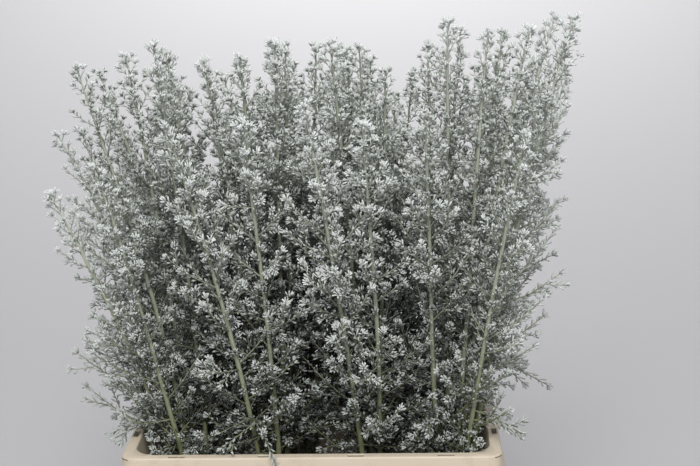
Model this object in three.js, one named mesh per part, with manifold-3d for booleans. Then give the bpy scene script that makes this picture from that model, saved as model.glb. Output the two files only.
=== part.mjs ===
// Potted bluebush: cut stems of silver-grey bluebush foliage that stand in eight tied bunches in a cream
// plastic container. The container is one moulding, in four meshes: its wall with the rim, its floor and
// its two grips. Millimetres, +Z up. The origin is the middle of the container's underside, the long
// sides run along X and the front faces -Y.
import * as THREE from 'three';
import { mergeVertices } from 'three/addons/utils/BufferGeometryUtils.js';
import Module from 'manifold-3d';

const wasm = await Module();
wasm.setup();

// Container
const RIM_LENGTH = 400;
const RIM_DEPTH = 300;
const RIM_HEIGHT = 285;
const WALL = 3;
const FLOOR = 4;
const BASE_INSET = 25;
const RIM_WALL_INSET = 9.5;
const SKIRT_DROP = 35;
const OUTER_CORNER = 13;
const INNER_CORNER = 24;
const CORNER_STEPS = 5;

// Blind seats sunk into the top of the rim, their middles measured along each side
const SEAT_LENGTH = 17;
const SEAT_WIDTH = 5;
const SEAT_DEPTH = 1.8;
const SEAT_INSET = 5.5;
const LONG_SIDE_SEATS = [-141, -47, 47, 141];
const SHORT_SIDE_SEATS = [-77, 77];

// Grip ledges on the short sides
const GRIP_TOP = 215;
const GRIP_HEIGHT = 18;
const GRIP_ROOT = 184.5;
const GRIP_REACH = 212;
const GRIP_HALF_LENGTH = 48;
const GRIP_CORNER = 10;
const GRIP_WALL = 3;
const GRIP_GAP = 0.3;

// Stems
const STEM_GAP = 0.3;
const FOOT_RADIUS = 3.5;
const NECK_RADIUS = 1.6;
const STEM_SIDES = 5;
const STEM_STEPS = 5;
const RING_STEMS = 5;
const TIE_PITCH = 7.7;
const FOOT_FLARE = 1.25;
const TIE_LOW = 104;
const TIE_HIGH = 118;
const START_LEAN = 0.6;
const BOW = 5;
const GOLDEN_ANGLE = Math.PI * (3 - Math.sqrt(5));

// Leafy top of each stem: [distance under the tip, radius]
const SPIRE_LENGTH = 80;
const SPIRE = [[SPIRE_LENGTH, NECK_RADIUS], [66, 5.5], [38, 6.5], [10, 4.5], [0, 1]];

// Side twigs
const TWIG_FIRST = 293;
const TWIG_PITCH = 41;
const TWIG_LENGTH_LOW = 88;
const TWIG_LENGTH_HIGH = 30;
const TWIG_ANGLE_LOW = THREE.MathUtils.degToRad(62);
const TWIG_ANGLE_HIGH = THREE.MathUtils.degToRad(44);
const TWIG_ROOT_RADIUS = 0.9;
const TWIG_RADIUS = 3.8;
const TWIG_WIDEST = 0.6;
const TWIG_SIDES = 3;
const TWIG_CLEARANCE = 0.6;
const TWIG_TURNS = [0, 28, -28, 56, -56, 84, -84, 112, -112, 140, -140, 168].map(THREE.MathUtils.degToRad);
const TWIG_CUTS = [1, 0.75, 0.5, 0.34];

// Elastic bands
const BAND_HEIGHT = 8;
const BAND_THICKNESS = 1.5;

// Each bunch: the middle of its tie, and the tips of its six stems
const BUNCHES = [
  {
    centre: [-124, -62],
    tips: [
      [-228, -110, 692], [-186, -60, 697], [-150, -100, 712],
      [-245, -30, 615], [-268, -95, 560], [-205, -165, 600],
    ],
  },
  {
    centre: [-38, -64],
    tips: [
      [-105, -60, 690], [-62, -110, 700], [-28, -85, 711],
      [-22, -25, 700], [-130, -170, 640], [-55, -172, 645],
    ],
  },
  {
    centre: [70, -62],
    tips: [
      [28, -90, 710], [57, -65, 702], [84, -105, 682],
      [42, -15, 695], [5, -175, 660], [62, -170, 640],
    ],
  },
  {
    centre: [146, -60],
    tips: [
      [148, -75, 728], [188, -95, 718], [231, -70, 719],
      [273, -100, 732], [122, -160, 650], [222, -165, 625],
    ],
  },
  {
    centre: [-112, 60],
    tips: [
      [-157, 20, 690], [-246, 85, 663], [-175, 100, 675],
      [-285, 30, 600], [-250, 150, 620], [-190, 168, 640],
    ],
  },
  {
    centre: [-20, 62],
    tips: [
      [-120, 70, 660], [-80, 30, 676], [-40, 80, 692],
      [6, 45, 690], [-112, 160, 645], [-35, 162, 655],
    ],
  },
  {
    centre: [64, 60],
    tips: [
      [30, 80, 685], [66, 35, 675], [60, 110, 665],
      [112, 62, 655], [28, 165, 650], [92, 155, 620],
    ],
  },
  {
    centre: [140, 60],
    tips: [
      [163, -10, 712], [212, 30, 705], [268, 45, 718],
      [130, 112, 682], [222, 155, 665], [288, 100, 645],
    ],
  },
];

const CREAM_PLASTIC = { color: 0xd4c7b6, roughness: 0.45, metalness: 0 };
const SILVER_FOLIAGE = { color: 0x9ea8a0, roughness: 0.85, metalness: 0 };
const TAN_RUBBER = { color: 0xb98a58, roughness: 0.7, metalness: 0 };

// Solids and meshes

// A closed geometry from stacked loops that hold equally many points, anticlockwise seen from the end
// that the stack grows towards. The first and the last loop are capped, or joined to each other in a
// section that closes on itself.
function loft(loops, closesOnItself = false) {
  const sides = loops[0].length;
  const size = loops.length * sides;
  const last = size - sides;
  const index = [];
  for (let start = 0; start < (closesOnItself ? size : last); start += sides) {
    for (let i = 0; i < sides; i += 1) {
      const a = start + i;
      const b = start + ((i + 1) % sides);
      const overA = (a + sides) % size;
      const overB = (b + sides) % size;
      index.push(a, b, overB, a, overB, overA);
    }
  }
  for (let i = 1; i < sides - 1 && !closesOnItself; i += 1) {
    index.push(0, i + 1, i);
    index.push(last, last + i, last + i + 1);
  }
  const geometry = new THREE.BufferGeometry();
  geometry.setAttribute('position', new THREE.Float32BufferAttribute(loops.flat(2), 3));
  geometry.setIndex(index);
  return geometry;
}

// Any closed geometry as a solid that can be joined and cut.
function toSolid(geometry) {
  const bare = geometry.clone();
  bare.deleteAttribute('normal');
  bare.deleteAttribute('uv');
  const merged = mergeVertices(bare, 1e-4);
  return new wasm.Manifold(new wasm.Mesh({
    numProp: 3,
    vertProperties: new Float32Array(merged.attributes.position.array),
    triVerts: new Uint32Array(merged.index.array),
  }));
}

function toGeometry(solid) {
  const mesh = solid.getMesh();
  const geometry = new THREE.BufferGeometry();
  geometry.setAttribute('position', new THREE.BufferAttribute(mesh.vertProperties, 3));
  geometry.setIndex(new THREE.BufferAttribute(mesh.triVerts, 1));
  return geometry;
}

function namedMesh(name, geometry, finish) {
  geometry.computeVertexNormals();
  const mesh = new THREE.Mesh(geometry, new THREE.MeshStandardMaterial(finish));
  mesh.name = name;
  return mesh;
}

// Container

// How far the outside of the tapering wall lies inside the rim's outline at a height.
function wallInset(z) {
  return THREE.MathUtils.mapLinear(z, 0, RIM_HEIGHT, BASE_INSET, RIM_WALL_INSET);
}

// A rounded rectangle at a height, a given distance inside the rim's outline.
function containerLoop(inset, z, radius) {
  const reachX = RIM_LENGTH / 2 - inset - radius;
  const reachY = RIM_DEPTH / 2 - inset - radius;
  const corners = [[1, 1], [-1, 1], [-1, -1], [1, -1]];
  return corners.flatMap(([signX, signY], quarter) => {
    const arc = [];
    for (let i = 0; i <= CORNER_STEPS; i += 1) {
      const angle = (quarter + i / CORNER_STEPS) * Math.PI / 2;
      arc.push([signX * reachX + radius * Math.cos(angle), signY * reachY + radius * Math.sin(angle), z]);
    }
    return arc;
  });
}

function sectionLoops(section) {
  return section.map(([inset, z, radius]) => containerLoop(inset, z, radius));
}

// The wall stands on the floor's edge, flat on flat. Its section runs up the outside, under the rim,
// round the skirt, over the top and down the inside: [inset, height, corner radius].
function containerWall() {
  const underRim = RIM_HEIGHT - WALL;
  const skirtFoot = RIM_HEIGHT - SKIRT_DROP;
  const section = [
    [wallInset(FLOOR), FLOOR, 30],
    [wallInset(underRim), underRim, INNER_CORNER + WALL],
    [WALL, underRim, OUTER_CORNER - WALL],
    [WALL, skirtFoot, OUTER_CORNER - WALL],
    [0, skirtFoot, OUTER_CORNER],
    [0, RIM_HEIGHT - 2, OUTER_CORNER],
    [1.8, RIM_HEIGHT, OUTER_CORNER - 1.8],
    [wallInset(RIM_HEIGHT) + 1.6, RIM_HEIGHT, INNER_CORNER + 1],
    [wallInset(RIM_HEIGHT) + WALL, RIM_HEIGHT - 2, INNER_CORNER],
    [wallInset(FLOOR + 5) + WALL, FLOOR + 5, INNER_CORNER],
    [wallInset(FLOOR) + WALL + 5, FLOOR, INNER_CORNER - 5],
  ];
  return toSolid(loft(sectionLoops(section), true));
}

function makeFloor() {
  const section = [[wallInset(0) + 4, 0, 26], [wallInset(FLOOR), FLOOR, 30]];
  return namedMesh('container_floor', loft(sectionLoops(section)), CREAM_PLASTIC);
}

function rimSeats() {
  const cutter = (lengthX, lengthY, x, y) => toSolid(
    new THREE.BoxGeometry(lengthX, lengthY, 2 * SEAT_DEPTH).translate(x, y, RIM_HEIGHT),
  );
  const seats = [];
  for (const side of [-1, 1]) {
    const y = side * (RIM_DEPTH / 2 - SEAT_INSET);
    const x = side * (RIM_LENGTH / 2 - SEAT_INSET);
    for (const along of LONG_SIDE_SEATS) seats.push(cutter(SEAT_LENGTH, SEAT_WIDTH, along, y));
    for (const along of SHORT_SIDE_SEATS) seats.push(cutter(SEAT_WIDTH, SEAT_LENGTH, x, along));
  }
  return seats;
}

// A block with chamfered outer corners, its root inside the right-hand wall.
function gripBlock(root, reach, halfLength, corner, bottom, height) {
  const outline = new THREE.Shape([
    new THREE.Vector2(root, -halfLength),
    new THREE.Vector2(reach - corner, -halfLength),
    new THREE.Vector2(reach, corner - halfLength),
    new THREE.Vector2(reach, halfLength - corner),
    new THREE.Vector2(reach - corner, halfLength),
    new THREE.Vector2(root, halfLength),
  ]);
  const block = new THREE.ExtrudeGeometry(outline, { depth: height, bevelEnabled: false });
  return toSolid(block.translate(0, 0, bottom));
}

// The space that the grips keep clear of: the container's outside at their height, and a gap round it.
function gripClearance() {
  const heights = [GRIP_TOP - 2 * GRIP_HEIGHT, GRIP_TOP + GRIP_HEIGHT];
  return toSolid(loft(sectionLoops(heights.map((z) => [wallInset(z) - GRIP_GAP, z, INNER_CORNER]))));
}

// A ledge with a turned-down lip, hollow and open below, so that fingers hook under it.
function gripLedge() {
  const bottom = GRIP_TOP - GRIP_HEIGHT;
  const block = gripBlock(GRIP_ROOT, GRIP_REACH, GRIP_HALF_LENGTH, GRIP_CORNER, bottom, GRIP_HEIGHT);
  const hollow = gripBlock(
    GRIP_ROOT - GRIP_WALL,
    GRIP_REACH - GRIP_WALL,
    GRIP_HALF_LENGTH - GRIP_WALL,
    GRIP_CORNER,
    bottom - GRIP_WALL,
    GRIP_HEIGHT,
  );
  return block.subtract(hollow).subtract(gripClearance());
}

function makeWall() {
  let solid = containerWall();
  for (const seat of rimSeats()) solid = solid.subtract(seat);
  return namedMesh('container', toGeometry(solid), CREAM_PLASTIC);
}

function makeGrip(name, turn) {
  return namedMesh(name, toGeometry(gripLedge().rotate([0, 0, turn])), CREAM_PLASTIC);
}

// Stems

// In its tie, a bunch has one stem in the middle and the others round it, at even angles.
function placeAngle(place) {
  return (place / RING_STEMS) * 2 * Math.PI;
}

function ringPlace(middle, place) {
  const angle = placeAngle(place);
  return new THREE.Vector2(
    middle.x + TIE_PITCH * Math.cos(angle),
    middle.y + TIE_PITCH * Math.sin(angle),
  );
}

// Seen from above, the tips of a bunch lie round their common middle. The tip nearest to it belongs to
// the stem in the middle of the tie, and the others take the ring in the order of their directions,
// turned as near as can be to them, so that no two stems cross.
function planBunch({ centre, tips }) {
  const middle = new THREE.Vector2(...centre);
  const sum = tips.reduce((total, [x, y]) => total.add(new THREE.Vector2(x, y)), new THREE.Vector2());
  const tipsMiddle = sum.divideScalar(tips.length);
  const spread = tips.map(([x, y, z]) => {
    const offset = new THREE.Vector2(x, y).sub(tipsMiddle);
    return { tip: new THREE.Vector3(x, y, z), reach: offset.length(), heading: offset.angle() };
  });
  spread.sort((a, b) => a.reach - b.reach);
  const ring = spread.slice(1).sort((a, b) => a.heading - b.heading);
  const misfit = (turn) => ring.reduce((total, { heading }, i) => (
    total - Math.cos(heading - placeAngle(i + turn))
  ), 0);
  const turns = ring.map((_, i) => i);
  const best = turns.reduce((a, b) => (misfit(b) < misfit(a) ? b : a));
  return [
    { tie: middle, middle, tip: spread[0].tip },
    ...ring.map(({ tip }, i) => ({ tie: ringPlace(middle, i + best), middle, tip })),
  ];
}

// The middle of a stem at a height: straight and slightly flared under the tie, straight through it,
// then leaning out towards its tip more and more, with a slight bow of its own.
function stemAt({ tie, middle, tip, bowHeading }, z) {
  if (z <= TIE_HIGH) {
    const under = Math.max(0, (TIE_LOW - z) / TIE_LOW);
    const flare = 1 + (FOOT_FLARE - 1) * under;
    return new THREE.Vector3(
      middle.x + (tie.x - middle.x) * flare,
      middle.y + (tie.y - middle.y) * flare,
      z,
    );
  }
  const rise = (z - TIE_HIGH) / (tip.z - TIE_HIGH);
  const lean = rise * (START_LEAN + (1 - START_LEAN) * rise);
  const bow = BOW * Math.sin(Math.PI * rise) ** 2;
  return new THREE.Vector3(
    tie.x + (tip.x - tie.x) * lean + bow * Math.cos(bowHeading),
    tie.y + (tip.y - tie.y) * lean + bow * Math.sin(bowHeading),
    z,
  );
}

function stemRadius({ tip }, z) {
  return THREE.MathUtils.mapLinear(z, 0, tip.z - SPIRE_LENGTH, FOOT_RADIUS, NECK_RADIUS);
}

// The heights and radii of a stem's rings, from its cut foot to its tip.
function stemRings(stem) {
  const foot = FLOOR + STEM_GAP;
  const neck = stem.tip.z - SPIRE_LENGTH;
  const rings = [foot, TIE_LOW, TIE_HIGH].map((z) => [z, stemRadius(stem, z)]);
  for (let i = 1; i < STEM_STEPS; i += 1) {
    const z = THREE.MathUtils.lerp(TIE_HIGH, neck, i / STEM_STEPS);
    rings.push([z, stemRadius(stem, z)]);
  }
  for (const [under, radius] of SPIRE) rings.push([stem.tip.z - under, radius]);
  return rings;
}

function stemLoop(centre, radius) {
  const loop = [];
  for (let i = 0; i < STEM_SIDES; i += 1) {
    const angle = (i / STEM_SIDES) * 2 * Math.PI;
    loop.push([centre.x + radius * Math.cos(angle), centre.y + radius * Math.sin(angle), centre.z]);
  }
  return loop;
}

// A stem as straight bars, each with its two ends and its largest radius, to measure clearance with.
function stemBars(stem) {
  const rings = stemRings(stem);
  return rings.slice(1).map(([z, radius], i) => ({
    from: stemAt(stem, rings[i][0]),
    to: stemAt(stem, z),
    radius: Math.max(radius, rings[i][1]),
  }));
}

// The distance between the nearest points of two bars' middle lines, less both radii.
function barGap(a, b) {
  const u = a.to.clone().sub(a.from);
  const v = b.to.clone().sub(b.from);
  const w = a.from.clone().sub(b.from);
  const uu = u.dot(u);
  const uv = u.dot(v);
  const vv = v.dot(v);
  const across = uu * vv - uv * uv;
  const clamp = (value) => THREE.MathUtils.clamp(value, 0, 1);
  let s = across > 1e-9 ? clamp((uv * v.dot(w) - vv * u.dot(w)) / across) : 0;
  const t = clamp((uv * s + v.dot(w)) / vv);
  s = clamp((uv * t - u.dot(w)) / uu);
  return w.addScaledVector(u, s).addScaledVector(v, -t).length() - a.radius - b.radius;
}

// Twigs

// A twig as a bar from a point on its stem's middle line. Low twigs are long and spread wide, high
// ones short and steep.
function twigBar(stem, z, heading, cut) {
  const top = stem.tip.z - SPIRE_LENGTH;
  const height = (z - TWIG_FIRST) / (top - TWIG_FIRST);
  const angle = THREE.MathUtils.lerp(TWIG_ANGLE_LOW, TWIG_ANGLE_HIGH, height);
  const length = cut * THREE.MathUtils.lerp(TWIG_LENGTH_LOW, TWIG_LENGTH_HIGH, Math.sqrt(height));
  const along = new THREE.Vector3(
    Math.sin(angle) * Math.cos(heading),
    Math.sin(angle) * Math.sin(heading),
    Math.cos(angle),
  );
  const from = stemAt(stem, z);
  return { from, to: from.clone().addScaledVector(along, length), radius: TWIG_RADIUS };
}

// Twigs climb the stem in a spiral. One that would touch another stem or its twigs is turned aside or
// grows shorter, and one that fits nowhere is left out.
function placeTwigs(stem, number, others) {
  const twigs = [];
  const top = stem.tip.z - SPIRE_LENGTH - TWIG_PITCH / 4;
  const start = TWIG_FIRST + (number % 4) * TWIG_PITCH / 4;
  for (let z = start; z < top; z += TWIG_PITCH) {
    const spiral = GOLDEN_ANGLE * (number + twigs.length * 4);
    const choices = TWIG_CUTS.flatMap((cut) => TWIG_TURNS.map((turn) => [spiral + turn, cut]));
    const fitting = choices
      .values()
      .map(([heading, cut]) => twigBar(stem, z, heading, cut))
      .find((twig) => others.every((other) => barGap(twig, other) > TWIG_CLEARANCE));
    if (fitting) twigs.push(fitting);
  }
  return twigs;
}

// A leafy twig's outer shape: thin at its root, widest past its middle, pointed at its end.
function twigSolid({ from, to }) {
  const along = to.clone().sub(from);
  const length = along.length();
  const turn = new THREE.Quaternion().setFromUnitVectors(
    new THREE.Vector3(0, 0, 1),
    along.clone().normalize(),
  );
  const rings = [[0, TWIG_ROOT_RADIUS], [TWIG_WIDEST, TWIG_RADIUS], [1, TWIG_ROOT_RADIUS / 2]];
  const loops = rings.map(([part, radius]) => {
    const loop = [];
    for (let i = 0; i < TWIG_SIDES; i += 1) {
      const angle = (i / TWIG_SIDES) * 2 * Math.PI;
      const point = new THREE.Vector3(radius * Math.cos(angle), radius * Math.sin(angle), part * length);
      loop.push(point.applyQuaternion(turn).add(from).toArray());
    }
    return loop;
  });
  return toSolid(loft(loops));
}

function makeSprig(name, stem, twigs) {
  const loops = stemRings(stem).map(([z, radius]) => stemLoop(stemAt(stem, z), radius));
  let solid = toSolid(loft(loops));
  for (const twig of twigs) solid = solid.add(twigSolid(twig));
  return namedMesh(name, toGeometry(solid), SILVER_FOLIAGE);
}

// Elastic bands

// The outline that a band takes round the outer stems of a tie, at a distance from them.
function bandOutline(middle, spacing) {
  const radius = FOOT_RADIUS + spacing;
  const outline = [];
  for (let i = 0; i < RING_STEMS; i += 1) {
    const stem = ringPlace(middle, i);
    for (const turn of [-0.5, 0, 0.5]) {
      const angle = placeAngle(i + turn);
      const out = new THREE.Vector2(Math.cos(angle), Math.sin(angle)).multiplyScalar(radius);
      outline.push(out.add(stem));
    }
  }
  return outline;
}

function makeBand(name, centre) {
  const middle = new THREE.Vector2(...centre);
  const shape = new THREE.Shape(bandOutline(middle, STEM_GAP + BAND_THICKNESS));
  shape.holes.push(new THREE.Path(bandOutline(middle, STEM_GAP)));
  const geometry = new THREE.ExtrudeGeometry(shape, { depth: BAND_HEIGHT, bevelEnabled: false });
  geometry.translate(0, 0, (TIE_LOW + TIE_HIGH - BAND_HEIGHT) / 2);
  return namedMesh(name, geometry, TAN_RUBBER);
}

// The whole part

const stems = BUNCHES.flatMap(planBunch).map((stem, i) => ({ ...stem, bowHeading: GOLDEN_ANGLE * i }));
const bars = stems.map(stemBars);
const twigsOf = [];
stems.forEach((stem, i) => {
  const others = bars.filter((_, j) => j !== i).flat();
  const twigs = placeTwigs(stem, i, others);
  twigsOf.push(twigs);
  bars[i] = bars[i].concat(twigs);
});

const pottedBluebush = new THREE.Group();
pottedBluebush.add(makeWall(), makeFloor(), makeGrip('grip_right', 0), makeGrip('grip_left', 180));
stems.forEach((stem, i) => {
  const name = `sprig_${String(i + 1).padStart(2, '0')}`;
  pottedBluebush.add(makeSprig(name, stem, twigsOf[i]));
});
BUNCHES.forEach(({ centre }, i) => pottedBluebush.add(makeBand(`band_${i + 1}`, centre)));

export default pottedBluebush;
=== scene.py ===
"""Visual model of a potted bluebush: cut silver-grey stems that stand in a cream plastic container.

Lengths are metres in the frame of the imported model: +Z is up, the long sides run along X and the
front faces -Y.
"""

import logging
import math
from dataclasses import dataclass
from enum import Enum
from typing import Self

import bmesh
import bpy
import numpy as np
import numpy.typing as npt
from mathutils import Matrix


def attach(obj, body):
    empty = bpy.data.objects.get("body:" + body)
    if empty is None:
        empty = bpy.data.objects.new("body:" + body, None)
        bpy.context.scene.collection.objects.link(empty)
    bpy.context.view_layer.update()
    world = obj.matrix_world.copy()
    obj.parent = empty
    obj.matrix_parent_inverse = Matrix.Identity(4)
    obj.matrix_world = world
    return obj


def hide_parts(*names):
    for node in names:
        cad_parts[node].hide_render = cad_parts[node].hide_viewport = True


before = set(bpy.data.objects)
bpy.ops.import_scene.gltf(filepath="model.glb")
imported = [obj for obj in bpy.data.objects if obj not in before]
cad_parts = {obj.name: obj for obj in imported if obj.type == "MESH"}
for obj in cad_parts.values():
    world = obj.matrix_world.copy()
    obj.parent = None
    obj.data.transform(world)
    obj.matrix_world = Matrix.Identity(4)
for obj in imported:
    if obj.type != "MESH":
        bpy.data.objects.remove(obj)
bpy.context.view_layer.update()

log = logging.getLogger("potted_bluebush")

Floats = npt.NDArray[np.float64]
Ints = npt.NDArray[np.int64]
Colour = tuple[float, float, float]
Pair = tuple[float, float]
Point = tuple[float, float, float]

UP = np.array([0.0, 0.0, 1.0])
GOLDEN_ANGLE = math.pi * (3 - math.sqrt(5))
LEAF_MAP = "OFBake"
SEED = 4187

# A leaf's place on the map: how wide its strip of tone is, and what stays free at both ends
TONE_WIDTH = 0.012
MAP_MARGIN = 0.02

# The container's rim, which leaves and twigs must clear
RIM_TOP = 0.285
RIM_CLEARANCE = 0.004
MOUTH_HALF_LENGTH = 0.184
MOUTH_HALF_DEPTH = 0.134
RIM_HALF_LENGTH = 0.2045
RIM_HALF_DEPTH = 0.1545
OVERHANG_LOWEST = 0.266
CLEARANCE_TESTS = np.linspace(0.2, 1.0, 14)
SEAT_FLOOR = 0.2832
SEAT_MIDDLE_Y = 0.1445
SEAT_MIDDLE_X = 0.1945
LONG_SIDE_SEATS = (-0.141, -0.047, 0.047, 0.141)
SHORT_SIDE_SEATS = (-0.077, 0.077)
TALLEST = 0.74

# The sheaf's half sides at the rim, and how fast they widen with the height
SHEAF_HALF_LENGTH = 0.20
SHEAF_HALF_DEPTH = 0.15
LENGTH_WIDENING = 0.20
DEPTH_WIDENING = 0.07
OUTER_TOP = 0.03

# The space that the leaves may fill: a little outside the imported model's box
REACH_LOW = np.array([-0.311, -0.195, 0.0])
REACH_HIGH = np.array([0.314, 0.188, 0.762])


class Slot(Enum):
    """The record's material slots."""

    PLASTIC = "plastic"
    LEAF = "leaf"
    STEM = "stem"
    RUBBER = "rubber_band"


def display(red: float, green: float, blue: float) -> Colour:
    """A colour given as 0 to 255 on a screen, in linear light.

    Args:
        red: red on the screen.
        green: green on the screen.
        blue: blue on the screen.

    Returns:
        The colour's linear parts, from 0 to 1.
    """
    parts = np.array([red, green, blue]) / 255
    low = parts / 12.92
    high = ((parts + 0.055) / 1.055) ** 2.4
    return tuple(float(value) for value in np.where(parts <= 0.04045, low, high))


def unit(vectors: Floats) -> Floats:
    """Vectors of length one with the same directions."""
    return vectors / np.maximum(np.linalg.norm(vectors, axis=-1, keepdims=True), 1e-12)


def square_pair(axis: Floats) -> tuple[Floats, Floats]:
    """Two directions square to each unit axis and to each other. The first turns onto the second."""
    helper = np.where(np.abs(axis[..., 2:3]) > 0.9, np.array([1.0, 0.0, 0.0]), UP)
    across = unit(np.cross(helper, axis))
    return across, np.cross(axis, across)


def turned(first: Floats, second: Floats, angle: Floats) -> Floats:
    """Directions turned from the first to the second: cos(angle) x first + sin(angle) x second."""
    return np.cos(angle)[:, None] * first + np.sin(angle)[:, None] * second


def placed(name: str, data: bpy.types.ID) -> bpy.types.Object:
    """A new object in the scene, at the origin.

    Args:
        name: its name.
        data: what it holds.

    Returns:
        The object.
    """
    made = bpy.data.objects.new(name, data)
    bpy.context.scene.collection.objects.link(made)
    return made


def mesh_piece(name: str, corners: Floats, faces: list[list[int]]) -> bpy.types.Object:
    """A new mesh object in the scene.

    Args:
        name: its name.
        corners: its corners, one a row.
        faces: the corners of each face.

    Returns:
        The object.
    """
    mesh = bpy.data.meshes.new(name)
    mesh.from_pydata(corners.tolist(), [], faces)
    mesh.validate()
    return placed(name, mesh)


def blend_between(low: float, high: float, share: Floats) -> Floats:
    """Values on the straight line from low, at share 0, to high, at share 1."""
    return low + (high - low) * share


@dataclass
class Surface:
    """Closed bodies as arrays: corners, triangles and a map corner for each triangle corner."""

    corners: Floats
    triangles: Ints
    uv: Floats

    @classmethod
    def joined(cls, parts: list[Self]) -> Self:
        """Several surfaces as one.

        Args:
            parts: the surfaces.

        Returns:
            One surface that holds them all.
        """
        starts = np.cumsum([0] + [len(part.corners) for part in parts[:-1]])
        return cls(
            np.concatenate([part.corners for part in parts]),
            np.concatenate([part.triangles + start for part, start in zip(parts, starts)]),
            np.concatenate([part.uv for part in parts]),
        )

    def piece(self, name: str) -> bpy.types.Object:
        """A smooth mesh object of this surface, at the origin.

        Args:
            name: the piece's name.

        Returns:
            The object, in the scene.
        """
        mesh = bpy.data.meshes.new(name)
        faces = len(self.triangles)
        mesh.vertices.add(len(self.corners))
        mesh.vertices.foreach_set("co", self.corners.astype(np.float32).ravel())
        mesh.loops.add(3 * faces)
        mesh.loops.foreach_set("vertex_index", self.triangles.astype(np.int32).ravel())
        mesh.polygons.add(faces)
        mesh.polygons.foreach_set("loop_start", np.arange(0, 3 * faces, 3, dtype=np.int32))
        mesh.polygons.foreach_set("use_smooth", np.ones(faces, dtype=bool))
        uv_map = mesh.uv_layers.new(name=LEAF_MAP)
        uv_map.data.foreach_set("uv", self.uv.astype(np.float32).ravel())
        mesh.update(calc_edges=True)
        mesh.validate()
        return placed(name, mesh)


def spindle_pattern(rings: int, sides: int) -> tuple[Ints, Ints, Ints]:
    """The triangles of one closed body: a pole, some rings and a pole.

    Corner 0 is the first pole, then come the rings' corners in order, then the last pole.

    Args:
        rings: how many rings lie between the poles.
        sides: how many corners a ring has.

    Returns:
        Each triangle's corners, the step along the spine of each, and the side round it of each.
    """
    side = np.arange(sides)
    after = (side + 1) % sides
    nought = np.zeros(sides, int)
    pole = 1 + rings * sides
    last = pole - sides
    faces = [((nought, 1 + after, 1 + side), (0, 1, 1), (0, 1, 0))]
    for ring in range(1, rings):
        here = 1 + (ring - 1) * sides
        there = here + sides
        faces.append(((here + side, here + after, there + after), (ring, ring, ring + 1), (0, 1, 1)))
        faces.append(((here + side, there + after, there + side), (ring, ring + 1, ring + 1), (0, 1, 0)))
    faces.append(((nought + pole, last + side, last + after), (rings + 1, rings, rings), (0, 0, 1)))
    return (
        np.concatenate([np.stack(corners, 1) for corners, _, _ in faces]),
        np.concatenate([np.tile(steps, (sides, 1)) for _, steps, _ in faces]),
        np.concatenate([side[:, None] + np.array(turns) for _, _, turns in faces]),
    )


def spindles(spine: Floats, radius: Floats, sides: int, u_range: Floats, v_steps: Floats,
             flatness: float = 1.0) -> Surface:
    """Closed bodies along many spines at once.

    A ring's corner is its spine point + radius x (cos(angle) x across + flatness x sin(angle) x over),
    where across and over are square to the spine's direction there.

    Args:
        spine: points along each spine, as bodies x points x 3. The first and the last are poles.
        radius: the radius at each point between the poles, as bodies x rings.
        sides: how many corners a ring has.
        u_range: where the map starts round each body and how wide it is, as bodies x 2.
        v_steps: the map's value along each body, as bodies x points.
        flatness: thickness over width.

    Returns:
        All the bodies as one surface.
    """
    bodies, points, _ = spine.shape
    along = unit(spine[:, 2:] - spine[:, :-2])
    across, _ = square_pair(unit(spine[:, -1] - spine[:, 0]))
    across = np.broadcast_to(across[:, None], along.shape)
    across = unit(across - along * np.sum(across * along, axis=-1, keepdims=True))
    over = np.cross(along, across)
    angle = (np.arange(sides) / sides * 2 * np.pi)[:, None]
    around = np.cos(angle) * across[:, :, None] + flatness * np.sin(angle) * over[:, :, None]
    rings = spine[:, 1:-1, None] + radius[:, :, None, None] * around
    rings = rings.reshape(bodies, (points - 2) * sides, 3)
    corners = np.concatenate([spine[:, :1], rings, spine[:, -1:]], axis=1)
    pattern, steps, turns = spindle_pattern(points - 2, sides)
    starts = np.arange(bodies)[:, None, None] * corners.shape[1]
    u = u_range[:, 0, None, None] + u_range[:, 1, None, None] * turns / sides
    v = v_steps[:, steps]
    return Surface(
        corners.reshape(-1, 3),
        (pattern + starts).reshape(-1, 3),
        np.stack([u, v], axis=-1).reshape(-1, 2),
    )


def clear_of_rim(points: Floats) -> npt.NDArray[np.bool_]:
    """Whether points are above the rim, inside the container's mouth or just outside it, and in reach.

    Args:
        points: the points.

    Returns:
        True for each point that is clear.
    """
    x = np.abs(points[..., 0])
    y = np.abs(points[..., 1])
    above = points[..., 2] > RIM_TOP + RIM_CLEARANCE
    inside = (x < MOUTH_HALF_LENGTH) & (y < MOUTH_HALF_DEPTH)
    outside = ((x > RIM_HALF_LENGTH) | (y > RIM_HALF_DEPTH)) & (points[..., 2] > OVERHANG_LOWEST)
    in_reach = np.all((points > REACH_LOW) & (points < REACH_HIGH), axis=-1)
    return (above | inside | outside) & in_reach


def seat_places() -> Floats:
    """Where the rim's seats are.

    Returns:
        Each seat's middle x and y and the turn of its long side, one seat a row.
    """
    along = [(x, side * SEAT_MIDDLE_Y, 0.0) for side in (-1, 1) for x in LONG_SIDE_SEATS]
    across = [(side * SEAT_MIDDLE_X, y, math.pi / 2) for side in (-1, 1) for y in SHORT_SIDE_SEATS]
    return np.array(along + across)


def depth_inside(points: Floats) -> Floats:
    """How deep points lie in the sheaf, from 0 at its outside to 1 at its core.

    The depth is 1 less the largest of |x| / half length, |y| / half depth and the height's share, where
    both halves widen with the height.

    Args:
        points: points, one a row.

    Returns:
        The depth of each.
    """
    rise = np.maximum(points[:, 2] - RIM_TOP, 0)
    shares = np.stack([
        np.abs(points[:, 0]) / (SHEAF_HALF_LENGTH + LENGTH_WIDENING * rise),
        np.abs(points[:, 1]) / (SHEAF_HALF_DEPTH + DEPTH_WIDENING * rise),
        rise / (TALLEST - RIM_TOP - OUTER_TOP),
    ])
    return np.clip(1 - shares.max(axis=0), 0, 1)


# Finishes

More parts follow.
